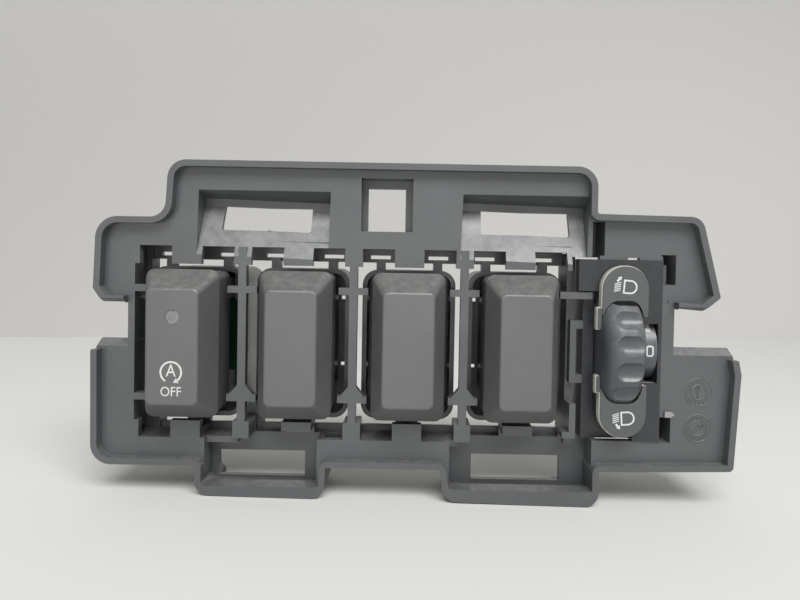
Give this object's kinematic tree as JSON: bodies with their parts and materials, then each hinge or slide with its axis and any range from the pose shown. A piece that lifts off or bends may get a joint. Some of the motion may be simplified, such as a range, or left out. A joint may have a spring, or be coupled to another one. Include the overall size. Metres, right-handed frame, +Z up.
{
  "type": "dashboard switch panel",
  "caption": "Dashboard switch carrier with a stop/start push switch, blanking caps and a headlight levelling thumbwheel, on two clip tabs.",
  "frame": {"origin": "on the front face of the plate, on the centreline of the middle bay, just above the bays", "axes": "+Y into the dashboard, square to the plate; +Z up along the bays; +X to the right as the driver sees it"},
  "size_m": [0.1875, 0.0587, 0.0982],
  "materials": {
    "frame_plastic": "fine grained, dull",
    "cap_plastic": "fine grained, satin",
    "housing_plastic": "plain moulded",
    "level_plastic": "satin",
    "wheel_plastic": "satin",
    "plate_plastic": "satin",
    "light_guide": "cream translucent",
    "lens_plastic": "smoked, smooth",
    "mat_rubber": "silicone",
    "board_green": "solder resist",
    "lamp_glass": "moulded",
    "pin_tin": "tinned",
    "wiper_brass": "rolled",
    "spring_steel": "rolled"
  },
  "bodies": {
    "panel": {"blank_1_cap": "cap_plastic", "blank_1_housing": "housing_plastic", "blank_2_cap": "cap_plastic", "blank_2_housing": "housing_plastic", "blank_3_cap": "cap_plastic", "blank_3_housing": "housing_plastic", "button_board": "board_green", "button_housing": "housing_plastic", "button_lamps": "lamp_glass", "button_rear_cover": "housing_plastic", "button_terminals": "pin_tin", "carrier_frame": "frame_plastic", "detent_spring": "spring_steel", "dome_mat": "mat_rubber", "level_bezel_lower": "plate_plastic", "level_bezel_upper": "plate_plastic", "level_board": "board_green", "level_guide_lower": "light_guide", "level_guide_upper": "light_guide", "level_housing": "level_plastic", "level_lamp": "lamp_glass", "level_rear_cover": "housing_plastic", "level_terminals": "pin_tin", "track_board": "board_green"},
    "key": {"button_cap": "cap_plastic", "indicator_lens": "lens_plastic", "symbol_light_guide": "light_guide"},
    "wheel": {"thumbwheel": "wheel_plastic", "wiper": "wiper_brass"}
  },
  "joints": [
    {"name": "key_press", "type": "hinge", "parent": "panel", "child": "key", "pos_m": [-0.065, 0.0165, -0.0095], "axis": [1, 0, 0], "range_deg": [0, 3], "stiffness_Nm_per_rad": 0.7, "springref_deg": -2.86},
    {"name": "wheel_turn", "type": "hinge", "parent": "panel", "child": "wheel", "pos_m": [0.06035, 0.0082, -0.0252], "axis": [1, 0, 0], "range_deg": [0, 135]}
  ]
}
